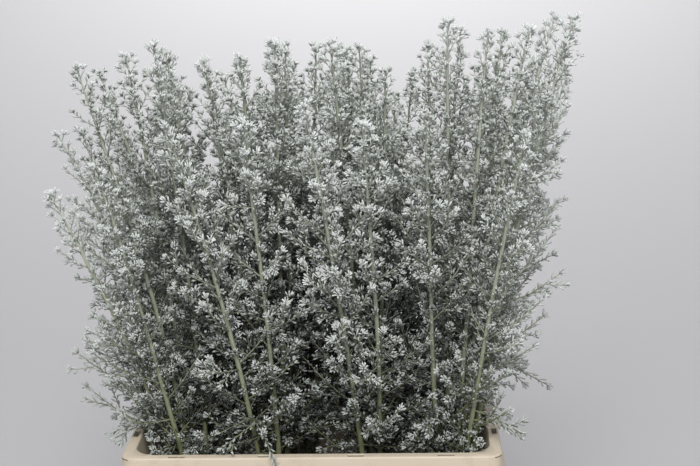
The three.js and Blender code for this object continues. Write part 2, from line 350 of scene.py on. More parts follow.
class Tree:
    """A node tree and the few steps that build it."""

    def __init__(self, tree: bpy.types.NodeTree) -> None:
        """Takes the tree to build in."""
        self.tree = tree

    def node(self, kind: str, inputs: dict[str, object] | None = None,
             settings: dict[str, object] | None = None) -> bpy.types.Node:
        """A new node.

        Args:
            kind: the node's type.
            inputs: values, or sockets to link, for its named inputs.
            settings: values for its own properties.

        Returns:
            The node.
        """
        made = self.tree.nodes.new(kind)
        for key, value in (settings or {}).items():
            setattr(made, key, value)
        for key, value in (inputs or {}).items():
            self.feed(made.inputs[key], value)
        return made

    def feed(self, socket: bpy.types.NodeSocket, value: object) -> None:
        """Links a socket to an input, or sets the input's own value.

        Args:
            socket: the input.
            value: a socket or a plain value.
        """
        if isinstance(value, bpy.types.NodeSocket):
            self.tree.links.new(value, socket)
        else:
            socket.default_value = value

    def maths(self, operation: str, *values: object) -> bpy.types.NodeSocket:
        """One step of arithmetic.

        Args:
            operation: the Math node's operation.
            *values: numbers or sockets for its inputs.

        Returns:
            The result's socket.
        """
        made = self.node("ShaderNodeMath", settings={"operation": operation})
        for socket, value in zip(made.inputs, values):
            self.feed(socket, value)
        return made.outputs[0]


def mottle_effect() -> bpy.types.NodeTree:
    """The effect that every finish shares: broad and fine noise added, then spread round the middle.

    The mask is 0.5 + (0.65 x broad + 0.35 x fine - 0.5) x (1 + 5 x contrast), held from 0 to 1.

    Returns:
        The node group, built once.
    """
    existing = bpy.data.node_groups.get("mottle")
    if existing:
        return existing
    group = bpy.data.node_groups.new("mottle", "ShaderNodeTree")
    group.interface.new_socket("Vector", in_out="INPUT", socket_type="NodeSocketVector")
    for name in ("Broad", "Fine", "Contrast"):
        group.interface.new_socket(name, in_out="INPUT", socket_type="NodeSocketFloat")
    group.interface.new_socket("Mask", in_out="OUTPUT", socket_type="NodeSocketFloat")
    steps = Tree(group)
    source = steps.node("NodeGroupInput").outputs
    result = steps.node("NodeGroupOutput")
    noises = []
    for scale, detail in (("Broad", 3.0), ("Fine", 2.0)):
        noise = steps.node("ShaderNodeTexNoise", {
            "Vector": source["Vector"], "Scale": source[scale], "Detail": detail})
        noises.append(noise.outputs["Fac"])
    both = steps.maths("MULTIPLY_ADD", noises[0], 0.65, steps.maths("MULTIPLY", noises[1], 0.35))
    spread = steps.maths("MULTIPLY_ADD", source["Contrast"], 5.0, 1.0)
    centred = steps.maths("MULTIPLY_ADD", steps.maths("SUBTRACT", both, 0.5), spread, 0.5)
    steps.feed(result.inputs["Mask"], steps.maths("MAXIMUM", steps.maths("MINIMUM", centred, 1.0), 0.0))
    return group


class Shader(Tree):
    """A material's node tree and the steps that every finish takes with it."""

    def __init__(self, name: str) -> None:
        """A new material with a plain surface shader.

        Args:
            name: the material's name.
        """
        self.material = bpy.data.materials.new(name)
        self.material.use_nodes = True
        super().__init__(self.material.node_tree)
        self.surface = self.tree.nodes["Principled BSDF"]

    def place(self) -> bpy.types.NodeSocket:
        """The Object coordinates."""
        return self.node("ShaderNodeTexCoord").outputs["Object"]

    def leaf_map(self) -> bpy.types.NodeSocket:
        """The coordinates of the piece's own map."""
        return self.node("ShaderNodeUVMap", settings={"uv_map": LEAF_MAP}).outputs["UV"]

    def parts(self, vector: bpy.types.NodeSocket) -> tuple[bpy.types.NodeSocket, ...]:
        """A vector's X, Y and Z."""
        return tuple(self.node("ShaderNodeSeparateXYZ", {"Vector": vector}).outputs)

    def stretched(self, vector: bpy.types.NodeSocket, *scale: float) -> bpy.types.NodeSocket:
        """A vector with its X, Y and Z scaled."""
        return self.node("ShaderNodeMapping", {"Vector": vector, "Scale": scale}).outputs["Vector"]

    def remapped(self, value: bpy.types.NodeSocket, low: float, high: float, most: float,
                 least: float = 0.0) -> bpy.types.NodeSocket:
        """A value carried over from one range to another, and held there.

        Args:
            value: the value.
            low: where it gives the least.
            high: where it gives the most.
            most: the result there.
            least: the result at the low end.

        Returns:
            The result's socket.
        """
        made = self.node("ShaderNodeMapRange", {
            "Value": value, "From Min": low, "From Max": high, "To Min": least, "To Max": most})
        return made.outputs["Result"]

    def mix(self, share: object, first: object, second: object) -> bpy.types.NodeSocket:
        """Two colours mixed.

        Args:
            share: how much of the second, from 0 to 1.
            first: a colour or a socket.
            second: a colour or a socket.

        Returns:
            The mixed colour's socket.
        """
        made = self.node("ShaderNodeMix", settings={"data_type": "RGBA"})
        self.feed(made.inputs[0], share)
        for index, value in ((6, first), (7, second)):
            self.feed(made.inputs[index], (*value, 1.0) if isinstance(value, tuple) else value)
        return made.outputs[2]

    def ramp(self, value: bpy.types.NodeSocket, stops: list[tuple[float, Colour]]) -> bpy.types.NodeSocket:
        """A colour looked up along a row of stops.

        Args:
            value: where to look, from 0 to 1.
            stops: each stop's place and colour.

        Returns:
            The colour's socket.
        """
        made = self.node("ShaderNodeValToRGB", {"Fac": value})
        elements = made.color_ramp.elements
        while len(elements) < len(stops):
            elements.new(0.5)
        for element, (place, colour) in zip(elements, stops):
            element.position = place
            element.color = (*colour, 1.0)
        return made.outputs["Color"]

    def mottle(self, vector: bpy.types.NodeSocket, broad: float, fine: float, contrast: float
               ) -> bpy.types.NodeSocket:
        """Uneven patches from the shared mottle effect.

        Args:
            vector: where the pattern is read.
            broad: scale of the large patches.
            fine: scale of the small ones.
            contrast: how hard the patches' edges are, from 0 to 1.

        Returns:
            A mask from 0 to 1.
        """
        inputs = {"Vector": vector, "Broad": broad, "Fine": fine, "Contrast": contrast}
        return self.node("ShaderNodeGroup", inputs, {"node_tree": mottle_effect()}).outputs["Mask"]

    def bump(self, height: bpy.types.NodeSocket, distance: float) -> bpy.types.NodeSocket:
        """Normals bent as if a height stood out of the surface, at half strength.

        Args:
            height: the height, from 0 to 1.
            distance: how high 1 stands, in metres.

        Returns:
            The normals' socket.
        """
        made = self.node("ShaderNodeBump", {"Height": height, "Distance": distance, "Strength": 0.5})
        return made.outputs["Normal"]

    def paint(self, inputs: dict[str, object]) -> bpy.types.Material:
        """Feeds the surface shader.

        Args:
            inputs: values, or sockets to link, for its named inputs.

        Returns:
            The finished material.
        """
        for key, value in inputs.items():
            self.feed(self.surface.inputs[key], value)
        return self.material


@dataclass(frozen=True)
class FeltedLeaf:
    """Small fleshy leaves with silver-grey felt. Across the map lies the leaf's tone, along it the leaf;
    its darkest tone is painted shade.
    """

    # The darkest tone, near black: painted shade for leaves deep in the sheaf
    inner: Colour = display(30, 33, 28)
    middle: Colour = display(172, 177, 171)
    outer: Colour = display(206, 210, 206)
    youngest: Colour = display(226, 229, 230)
    foot: Colour = display(160, 166, 138)
    roughness: float = 0.82

    def material(self) -> bpy.types.Material:
        """The finish as a material.

        Returns:
            The material.
        """
        shader = Shader("felted_leaf")
        place = shader.leaf_map()
        across, along, _ = shader.parts(place)
        # Tone from the painted shade deep in the sheaf, through the felt's greys, to the youngest felt
        tone = shader.ramp(across, [
            (0.0, self.inner), (0.4, self.middle), (0.74, self.outer), (1.0, self.youngest)])
        felt = shader.mottle(shader.stretched(place, 60.0, 2.5, 1.0), 2.0, 7.0, 0.2)
        uneven = shader.mix(shader.maths("MULTIPLY", felt, 0.3), tone, self.middle)
        near_foot = shader.remapped(along, 0.32, 0.0, 0.55)
        return shader.paint({
            "Base Color": shader.mix(near_foot, uneven, self.foot),
            "Roughness": self.roughness,
            "Sheen Weight": 0.18,
            "Sheen Roughness": 0.5,
            "Specular IOR Level": 0.3,
        })


@dataclass(frozen=True)
class StemBark:
    """Stems, olive at the foot and pale grey-green above. The map holds the depth and the height."""

    foot: Colour = display(112, 106, 70)
    rim: Colour = display(138, 144, 106)
    middle: Colour = display(166, 172, 150)
    top: Colour = display(184, 190, 180)
    scar: Colour = display(104, 96, 72)
    shaded: Colour = display(66, 68, 50)

    def material(self) -> bpy.types.Material:
        """The finish as a material.

        Returns:
            The material.
        """
        shader = Shader("stem_bark")
        place = shader.leaf_map()
        depth, height, _ = shader.parts(place)
        tone = shader.ramp(height, [
            (0.0, self.foot), (0.38, self.rim), (0.55, self.middle), (1.0, self.top)])
        streaks = shader.mottle(shader.stretched(place, 50.0, 26.0, 1.0), 2.2, 9.0, 0.5)
        bark = shader.mix(shader.remapped(streaks, 0.62, 0.9, 0.6), tone, self.scar)
        return shader.paint({
            "Base Color": shader.mix(shader.remapped(depth, 0.1, 0.6, 0.85), bark, self.shaded),
            "Roughness": 0.7,
            "Specular IOR Level": 0.35,
        })


@dataclass(frozen=True)
class CreamPlastic:
    """Moulded plastic, a little yellowed and soiled, with dirt and painted shade darkening the floors of
    the rim's seats.
    """

    face: Colour = display(203, 191, 174)
    yellowed: Colour = display(198, 184, 158)
    soiled: Colour = display(150, 136, 108)
    # Dark brown for the seats' floors: dirt and painted shade in the recesses
    seat_dirt: Colour = display(74, 58, 40)

    def seat_mask(self, shader: Shader, place: bpy.types.NodeSocket) -> bpy.types.NodeSocket:
        """Where the surface is a seat's floor: at its height, and near the middle line of a side's seats.

        Args:
            shader: the material's tree.
            place: the Object coordinates.

        Returns:
            A mask, 1 on the floors.
        """
        x, y, z = shader.parts(place)
        at_height = shader.maths("COMPARE", z, SEAT_FLOOR, 0.0006)
        in_row = [
            shader.maths("COMPARE", shader.maths("ABSOLUTE", far), middle, 0.0027)
            for far, middle in ((x, SEAT_MIDDLE_X), (y, SEAT_MIDDLE_Y))
        ]
        return shader.maths("MULTIPLY", at_height, shader.maths("MAXIMUM", *in_row))

    def material(self) -> bpy.types.Material:
        """The finish as a material.

        Returns:
            The material.
        """
        shader = Shader("cream_plastic")
        place = shader.place()
        patches = shader.mottle(place, 9.0, 60.0, 0.15)
        tone = shader.mix(shader.maths("MULTIPLY", patches, 0.5), self.face, self.yellowed)
        specks = shader.mottle(place, 55.0, 420.0, 0.8)
        dirty = shader.mix(shader.remapped(specks, 0.8, 1.0, 0.14), tone, self.soiled)
        scuffs = shader.mottle(shader.stretched(place, 12.0, 12.0, 260.0), 1.6, 6.0, 0.4)
        worn = shader.mix(shader.maths("MULTIPLY", scuffs, 0.12), dirty, self.soiled)
        # The seats' floors darkened: dirt and painted shade in the recesses
        in_seat = shader.maths("MULTIPLY", self.seat_mask(shader, place), 0.85)
        return shader.paint({
            "Base Color": shader.mix(in_seat, worn, self.seat_dirt),
            "Roughness": shader.remapped(scuffs, 0.0, 1.0, 0.56, least=0.36),
            "Normal": shader.bump(shader.mottle(place, 30.0, 700.0, 0.0), 0.0003),
        })


@dataclass(frozen=True)
class NaturalRubber:
    """Tan rubber bands with a dull bloom."""

    rubber: Colour = display(176, 132, 84)
    bloom: Colour = display(204, 176, 138)

    def material(self) -> bpy.types.Material:
        """The finish as a material.

        Returns:
            The material.
        """
        shader = Shader("natural_rubber")
        bloom = shader.mottle(shader.place(), 120.0, 900.0, 0.4)
        return shader.paint({
            "Base Color": shader.mix(shader.maths("MULTIPLY", bloom, 0.7), self.rubber, self.bloom),
            "Roughness": 0.72,
            "Normal": shader.bump(bloom, 0.0002),
        })


@dataclass(frozen=True)
class PaleBoard:
    """The floor and the backdrop's plain, pale paper."""

    paper: Colour = display(175, 174, 176)
    grain: Colour = display(163, 162, 164)

    def material(self) -> bpy.types.Material:
        """The finish as a material.

        Returns:
            The material.
        """
        shader = Shader("pale_board")
        grain = shader.mottle(shader.place(), 1.5, 40.0, 0.0)
        return shader.paint({
            "Base Color": shader.mix(shader.maths("MULTIPLY", grain, 0.06), self.paper, self.grain),
            "Roughness": 0.9,
        })


# Growth

@dataclass
class Rows:
    """Arrays that share their rows, one row for each shoot or leaf."""

    def kept(self, rows: npt.NDArray[np.bool_]) -> Self:
        """The same, with only some of the rows."""
        return type(self)(*(values[rows] for values in vars(self).values()))

    @classmethod
    def joined(cls, parts: list[Self]) -> Self:
        """Several sets of rows as one."""
        return cls(*(np.concatenate(values) for values in zip(*(vars(part).values() for part in parts))))


@dataclass
class Shoots(Rows):
    """Many curved shoots, one a row: a twig, a side branchlet or the short shoot of a leaf tuft.

    A point at share t is root + heading x length x t + lift x t squared.
    """

    root: Floats
    heading: Floats
    lift: Floats
    length: Floats
    height: Floats
    tip_leaves: Ints

    def point(self, rows: Ints, share: Floats) -> Floats:
        """Points on the shoots of some rows, each at its share of the length."""
        straight = self.heading[rows] * (self.length[rows] * share)[:, None]
        return self.root[rows] + straight + self.lift[rows] * (share**2)[:, None]

    def direction(self, rows: Ints, share: Floats) -> Floats:
        """Unit directions of the shoots of some rows, each at its share of the length."""
        straight = self.heading[rows] * self.length[rows][:, None]
        return unit(straight + 2 * self.lift[rows] * share[:, None])

    def clear(self) -> Self:
        """Only the shoots that stay off the rim and within reach.

        Returns:
            The shoots whose points, tested along their length, are all clear.
        """
        rows = np.arange(len(self.root))
        fine = np.ones(len(rows), dtype=bool)
        for share in CLEARANCE_TESTS:
            fine &= clear_of_rim(self.point(rows, np.full(len(rows), share)))
        return self.kept(fine)


class LeafDetail(Enum):
    """A leaf's rings: shares of its length for the poles and rings, then the rings' radii over it."""

    OUTER = ((0.0, 0.3, 0.9, 1.0), (0.105, 0.15))
    INNER = ((0.0, 0.7, 1.0), (0.175,))


@dataclass
class Leaves(Rows):
    """Many leaves, one a row: foot, direction, inward curve, length and tone."""

    foot: Floats
    axis: Floats
    curl: Floats
    length: Floats
    tone: Floats

    def surface(self, detail: LeafDetail) -> Surface:
        """The leaves as closed clubs, thin at the foot and widest near the tip.

        A leaf's spine at share t is foot + axis x length x t + curl x length x t squared.

        Args:
            detail: how many rings each leaf has.

        Returns:
            All the leaves as one surface.
        """
        shares, widths = (np.array(values) for values in detail.value)
        size = self.length[:, None, None]
        spine = (self.foot[:, None] + self.axis[:, None] * size * shares[None, :, None]
                 + self.curl[:, None] * size * (shares**2)[None, :, None])
        u_width = np.full(len(self.tone), TONE_WIDTH)
        return spindles(
            spine,
            self.length[:, None] * widths,
            3,
            np.stack([self.tone - u_width / 2, u_width], 1),
            np.broadcast_to(MAP_MARGIN + (1 - 2 * MAP_MARGIN) * shares, (len(self.tone), len(shares))),
            flatness=0.9,
        )


@dataclass(frozen=True)
class LeafTone:
    """How a leaf's tone follows its place: 0 is painted shade deep in the sheaf, 1 the youngest felt."""

    base: float = 0.35
    # Paler towards the top: partly younger felt, partly painted light on the sheaf's top
    height: float = 0.4
    along_shoot: float = 0.2
    rosette: float = 0.1
    fading: float = 0.6
    # Painted shade: tone lost with the depth in the sheaf
    depth: float = 1.1
    scatter: float = 0.1
    lowest: float = 0.02
    highest: float = 0.97

    def of(self, height: Floats, place: Floats, in_rosette: npt.NDArray[np.bool_], depth: Floats) -> Floats:
        """The tones before their scatter.

        A tone is base + height gain x height + (shoot gain x place + rosette gain) x (1 - fading x
        height) - depth loss x depth. The depth loss is painted shade, and the height gain is partly painted
        light on the sheaf's top as well as younger felt.

        Args:
            height: the shoots' share of the stem's leafy height.
            place: the leaves' share of their shoot.
            in_rosette: whether each leaf is in its shoot's rosette.
            depth: how deep in the sheaf each leaf is.

        Returns:
            A tone for each leaf.
        """
        young = (self.along_shoot * place + self.rosette * in_rosette) * (1 - self.fading * height)
        return self.base + self.height * height + young - self.depth * depth


@dataclass(frozen=True)
class Habit:
    """How every bluebush stem grows.

    A pair is a random value's least and most, or what a value is low on the stem and high on it.
    """

    # Nodes and twigs
    first_node: float = 0.236
    bare_tip: float = 0.005
    node_pitch: float = 0.0050
    node_shift: Pair = (0.2, 0.8)
    crowding: float = 1.12
    turn_scatter: float = 0.4
    twig_share: float = 0.54
    twig_length: Pair = (0.064, 0.034)
    twig_curve: float = 0.7
    twig_variety: Pair = (0.72, 1.28)
    outward_growth: float = 0.22
    outward_fading: float = 0.7
    inward_growth: float = 0.5
    tuft_length: Pair = (0.004, 0.009)
    taper: float = 0.34
    shortest: float = 0.004
    twig_angle: Pair = (math.radians(64), math.radians(40))
    angle_scatter: float = 0.12
    lift: Pair = (0.08, 0.38)
    droops_below: float = 0.12
    droops_facing: float = 0.3
    droop_chance: float = 0.45
    droop: float = 0.35
    twig_rosette: int = 9
    tuft_rosette: int = 7
    crown_start: float = 0.009
    crown_length: float = 0.006

    # Side branchlets
    branch_from: float = 0.027
    third_chance: float = 0.6
    branch_start: float = 0.3
    branch_pitch: float = 0.22
    branch_shift: Pair = (-0.06, 0.06)
    branch_angle: Pair = (0.65, 1.0)
    branch_length: Pair = (0.17, 0.36)
    branch_lift: float = 0.18

    # Leaves
    leaf_pitch: float = 0.0029
    leafless: float = 0.08
    leaf_length: Pair = (0.0067, 0.0092)
    leaf_spread: Pair = (1.0, 0.75)
    spread_scatter: float = 0.13
    rosette_place: float = 0.98
    rosette_spread: Pair = (0.3, 1.25)
    rosette_size: float = 0.88
    top_size: float = 0.84
    forward_curl: float = 0.2
    inward_curl: float = 0.12
    tone: LeafTone = LeafTone()
    deep: float = 0.07

    # Wood
    stem_rings: int = 30
    stem_sides: int = 8
    last_ring: float = 0.006
    stem_point: float = 0.002
    stem_radii: tuple[float, float, float] = (0.0037, 0.0018, 0.0006)
    stem_thins: float = 0.08
    swelling: float = 0.06
    swelling_rate: float = 310.0
    swells_above: float = 0.2
    long_rod: float = 0.018
    rod_base: float = 0.00045
    rod_gain: float = 0.012
    rod_radius: Pair = (0.0005, 0.0012)
    rod_taper: float = 0.52
    bark_map: float = 0.06


@dataclass
class Sprig:
    """One stem with its twigs and leaves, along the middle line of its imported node."""

    node: str
    number: int
    habit: Habit = Habit()

    def __post_init__(self) -> None:
        """Reads the middle line and starts this stem's own random numbers."""
        self.rng = np.random.default_rng(SEED + self.number)
        self.heights, self.middles = self.read_rings()
        self.tip = float(self.heights[-1])

    def read_rings(self) -> tuple[Floats, Floats]:
        """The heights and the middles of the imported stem's level rings.

        A ring shows as four or more corners at the same height. A corner that a twig's root adds to it
        lies off the ring, so the middle is taken between the ring's outermost corners.

        Returns:
            The heights, and the middles' x and y.
        """
        least_corners = 4
        outermost = 0.75
        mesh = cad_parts[self.node].data
        flat = np.empty(3 * len(mesh.vertices))
        mesh.vertices.foreach_get("co", flat)
        corners = np.unique(np.round(flat.reshape(-1, 3), 6), axis=0)
        height = np.round(corners[:, 2], 5)
        levels, place, count = np.unique(height, return_inverse=True, return_counts=True)
        rings = np.flatnonzero(count >= least_corners)
        middles = []
        for ring in rings:
            around = corners[place == ring][:, :2]
            radius = np.linalg.norm(around - around.mean(axis=0), axis=1)
            middles.append(around[radius > outermost * radius.max()].mean(axis=0))
        return levels[rings], np.array(middles)

    def middle(self, height: Floats) -> Floats:
        """Points on the middle line: a cubic between each two rings, with their common slopes.

        Args:
            height: heights up the stem.

        Returns:
            A point for each height.
        """
        slopes = np.gradient(self.middles, self.heights, axis=0)
        span = np.clip(np.searchsorted(self.heights, height) - 1, 0, len(self.heights) - 2)
        gap = (self.heights[span + 1] - self.heights[span])[:, None]
        t = (height[:, None] - self.heights[span][:, None]) / gap
        start = (1 + 2 * t) * (1 - t) ** 2 * self.middles[span] + t * (1 - t) ** 2 * gap * slopes[span]
        end = t**2 * (3 - 2 * t) * self.middles[span + 1] + t**2 * (t - 1) * gap * slopes[span + 1]
        return np.column_stack([start + end, height])

    def rising(self, height: Floats) -> Floats:
        """Unit directions of the middle line at some heights."""
        step = 0.002
        return unit(self.middle(height + step) - self.middle(height - step))

    def share_up(self, height: Floats) -> Floats:
        """How far up its leafy part a height is, from 0 at the rim to 1 at the tip."""
        return np.clip((height - RIM_TOP) / (self.tip - RIM_TOP), 0, 1)

    def stem_surface(self) -> Surface:
        """The stem as one tube that thins towards its tip.

        Returns:
            The tube.
        """
        habit = self.habit
        foot = self.heights[0]
        rings = np.linspace(foot, self.tip - habit.last_ring, habit.stem_rings)
        radius = np.interp(rings, [foot, self.tip - habit.stem_thins, self.tip], habit.stem_radii)
        wave = np.sin(rings * habit.swelling_rate + self.number) * (rings > habit.swells_above)
        points = self.middle(rings)
        tip = self.middle(np.array([self.tip - habit.stem_point]))
        spine = np.concatenate([points[:1], points, tip])[None]
        past_last = habit.last_ring - habit.stem_point
        height = np.concatenate([rings[:1] - habit.stem_point, rings, rings[-1:] + past_last]) / TALLEST
        depth = depth_inside(points[len(points) // 2:]).mean()
        u_range = np.array([[depth, habit.bark_map]])
        radius = radius * (1 + habit.swelling * wave)
        return spindles(spine, radius[None], habit.stem_sides, u_range, height[None])

    def main_shoots(self) -> Shoots:
        """A twig or a leaf tuft at each node of the stem, in a spiral.

        With rank from 0 to 1 up the stem, a node's height is first + leafy x (1 - (1 - rank)^crowding).

        Returns:
            The shoots.
        """
        habit = self.habit
        rng = self.rng
        leafy = self.tip - habit.bare_tip - habit.first_node
        count = round(leafy / habit.node_pitch)
        rank = (np.arange(count) + rng.uniform(*habit.node_shift, count)) / count
        height = habit.first_node + leafy * (1 - (1 - rank)**habit.crowding)
        share = self.share_up(height)
        up_stem = self.rising(height)
        turn = GOLDEN_ANGLE * np.arange(count) + self.number + rng.normal(0, habit.turn_scatter, count)
        outward = turned(*square_pair(up_stem), turn)
        root = self.middle(height)
        away = unit(root[:, :2] + 1e-6)
        facing = np.sum(outward[:, :2] * away, axis=1)
        twig = blend_between(*habit.twig_length, share**habit.twig_curve)
        outer = 1 + habit.outward_growth * facing * (1 - habit.outward_fading * share)
        twig = twig * rng.uniform(*habit.twig_variety, count) * outer
        inward = np.clip(-outward[:, 1] * np.sign(root[:, 1]), 0, 1)
        twig = twig * (1 + habit.inward_growth * inward)
        is_twig = rng.random(count) < habit.twig_share
        length = np.where(is_twig, twig, rng.uniform(*habit.tuft_length, count))
        length = np.minimum(length, habit.taper * (self.tip - height) + habit.shortest)
        angle = blend_between(*habit.twig_angle, share) + rng.normal(0, habit.angle_scatter, count)
        may_droop = (share < habit.droops_below) & (facing > habit.droops_facing)
        droops = may_droop & (rng.random(count) < habit.droop_chance)
        angle = np.where(droops, angle + habit.droop, angle)
        rise = np.where(droops, -habit.droop, rng.uniform(*habit.lift, count)) * length
        tips = np.where(is_twig, habit.twig_rosette, habit.tuft_rosette)
        return Shoots(root, unit(turned(up_stem, outward, angle)), rise[:, None] * UP, length, share, tips)

    def branchlets(self, twigs: Shoots) -> Shoots:
        """Two or three side branchlets on each long twig.

        Args:
            twigs: the shoots that bear them.

        Returns:
            The branchlets.
        """
        habit = self.habit
        rng = self.rng
        long_twigs = np.flatnonzero(twigs.length > habit.branch_from)
        parent = np.repeat(long_twigs, 3)
        rank = np.tile(np.arange(3), len(long_twigs))
        grown = (rank < 2) | (rng.random(len(rank)) < habit.third_chance)
        parent = parent[grown]
        rank = rank[grown]
        count = len(rank)
        place = habit.branch_start + habit.branch_pitch * rank + rng.uniform(*habit.branch_shift, count)
        along = twigs.direction(parent, place)
        side = turned(*square_pair(along), GOLDEN_ANGLE * rank + rng.uniform(0, 2 * np.pi, count))
        angle = rng.uniform(*habit.branch_angle, count)
        length = rng.uniform(*habit.branch_length, count) * twigs.length[parent]
        return Shoots(
            twigs.point(parent, place),
            unit(turned(along, side, angle)),
            (habit.branch_lift * length)[:, None] * UP,
            length,
            twigs.height[parent],
            np.full(count, habit.tuft_rosette),
        )

    def crown(self) -> Shoots:
        """The stem's own tip as a last short shoot."""
        habit = self.habit
        start = np.array([self.tip - habit.crown_start])
        return Shoots(self.middle(start), self.rising(start), np.zeros((1, 3)),
                      np.array([habit.crown_length]), np.ones(1), np.array([habit.twig_rosette]))

    def shoot_leaves(self, shoots: Shoots) -> Leaves:
        """Leaves in a spiral up every shoot, with a rosette at its tip.

        Args:
            shoots: the shoots that bear them.

        Returns:
            The leaves.
        """
        rng = self.rng
        habit = self.habit
        along = np.maximum(1, np.round(shoots.length / habit.leaf_pitch)).astype(int)
        total = along + shoots.tip_leaves
        row = np.repeat(np.arange(len(total)), total)
        rank = np.arange(len(row)) - np.repeat(np.cumsum(total) - total, total)
        in_rosette = rank >= along[row]
        up_shoot = habit.leafless + (1 - habit.leafless) * (rank + 0.5) / along[row]
        place = np.where(in_rosette, habit.rosette_place, up_shoot)
        axis = shoots.direction(row, place)
        turn = GOLDEN_ANGLE * rank + rng.uniform(0, 2 * np.pi, len(total))[row]
        side = turned(*square_pair(axis), turn)
        spread = blend_between(*habit.leaf_spread, place) + rng.normal(0, habit.spread_scatter, len(row))
        spread = np.where(in_rosette, rng.uniform(*habit.rosette_spread, len(row)), spread)
        size = rng.uniform(*habit.leaf_length, len(row)) * np.where(in_rosette, habit.rosette_size, 1.0)
        foot = shoots.point(row, place)
        share = shoots.height[row]
        size = size * blend_between(1.0, habit.top_size, share)
        # The tone holds painted shade deep in the sheaf and partly painted light towards its top
        tone = habit.tone.of(share, place, in_rosette, depth_inside(foot))
        tone = tone + rng.normal(0, habit.tone.scatter, len(row))
        return Leaves(
            foot,
            turned(axis, side, spread),
            habit.forward_curl * axis - habit.inward_curl * side,
            size,
            np.clip(tone, habit.tone.lowest, habit.tone.highest),
        )

    def twig_surface(self, shoots: Shoots) -> Surface:
        """Every shoot as a thin tapering rod.

        Args:
            shoots: the shoots.

        Returns:
            The rods.
        """
        habit = self.habit
        parts = []
        is_long = shoots.length > habit.long_rod
        long_shares = np.array([0.0, 0.04, 0.5, 0.96, 1.0])
        short_shares = np.array([0.0, 0.05, 0.95, 1.0])
        for some, shares in ((shoots.kept(is_long), long_shares), (shoots.kept(~is_long), short_shares)):
            rows = np.arange(len(some.root))
            spine = np.stack([some.point(rows, np.full(len(rows), share)) for share in shares], axis=1)
            thick = np.clip(habit.rod_base + habit.rod_gain * some.length, *habit.rod_radius)
            radius = thick[:, None] * (1 - habit.rod_taper * shares[1:-1])
            level = some.root[:, 2:3] / TALLEST
            u_range = np.stack([depth_inside(some.root), np.full(len(rows), habit.bark_map)], 1)
            parts.append(spindles(spine, radius, 3, u_range, level + 0.02 * shares))
        return Surface.joined(parts)

    def build(self) -> tuple[bpy.types.Object, bpy.types.Object]:
        """Grows the stem and its leaves.

        Returns:
            The stem's piece and the leaves' piece.
        """
        shoots = self.main_shoots().clear()
        shoots = Shoots.joined([shoots, self.branchlets(shoots).clear(), self.crown()])
        leaves = self.shoot_leaves(shoots)
        end = leaves.foot + (leaves.axis + leaves.curl) * leaves.length[:, None]
        leaves = leaves.kept(clear_of_rim(end))
        deep = depth_inside(leaves.foot) > self.habit.deep
        foliage = Surface.joined([
            leaves.kept(~deep).surface(LeafDetail.OUTER),
            leaves.kept(deep).surface(LeafDetail.INNER),
        ])
        wood = Surface.joined([self.stem_surface(), self.twig_surface(shoots)])
        return wood.piece(f"{self.node}_stem"), foliage.piece(f"{self.node}_leaves")

    def dress(self, wood: bpy.types.Object, leaves: bpy.types.Object, bark: bpy.types.Material,
              felt: bpy.types.Material) -> None:
        """Gives both pieces their finish and their place in the frame.

        Args:
            wood: the stem's piece.
            leaves: the leaves' piece.
            bark: the stem's material.
            felt: the leaves' material.
        """
        for piece, material, slot in ((wood, bark, Slot.STEM), (leaves, felt, Slot.LEAF)):
            piece.data.materials.append(material)
            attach(piece, "root")
            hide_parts(self.node)


@dataclass
class Foliage:
    """All the stems."""

    stems: int = 48

    def build(self) -> int:
        """Grows and dresses every stem.

        Returns:
            How many triangles they have.
        """
        bark = StemBark().material()
        felt = FeltedLeaf().material()
        triangles = 0
        for number in range(1, self.stems + 1):
            sprig = Sprig(f"sprig_{number:02d}", number)
            wood, leaves = sprig.build()
            sprig.dress(wood, leaves, bark, felt)
            triangles += len(wood.data.polygons) + len(leaves.data.polygons)
        return triangles


def evaluated_mesh(piece: bpy.types.Object) -> bpy.types.Mesh:
    """The mesh that a piece's modifiers give it.

    Args:
        piece: the piece.

    Returns:
        A new mesh.
    """
    graph = bpy.context.evaluated_depsgraph_get()
    graph.update()
    return bpy.data.meshes.new_from_object(piece.evaluated_get(graph))


def round_edges(piece: bpy.types.Object, width: float, sharp: float) -> None:
    """Rounds a piece's sharp edges and shades it smoothly.

    Args:
        piece: the piece.
        width: the rounding's width.
        sharp: the least angle, in radians, of an edge that is rounded.
    """
    faces = piece.data.polygons
    faces.foreach_set("use_smooth", np.ones(len(faces), dtype=bool))
    bevel = piece.modifiers.new("edges", "BEVEL")
    bevel.width = width
    bevel.segments = 2
    bevel.limit_method = "ANGLE"
    bevel.angle_limit = sharp
    bevel.harden_normals = True


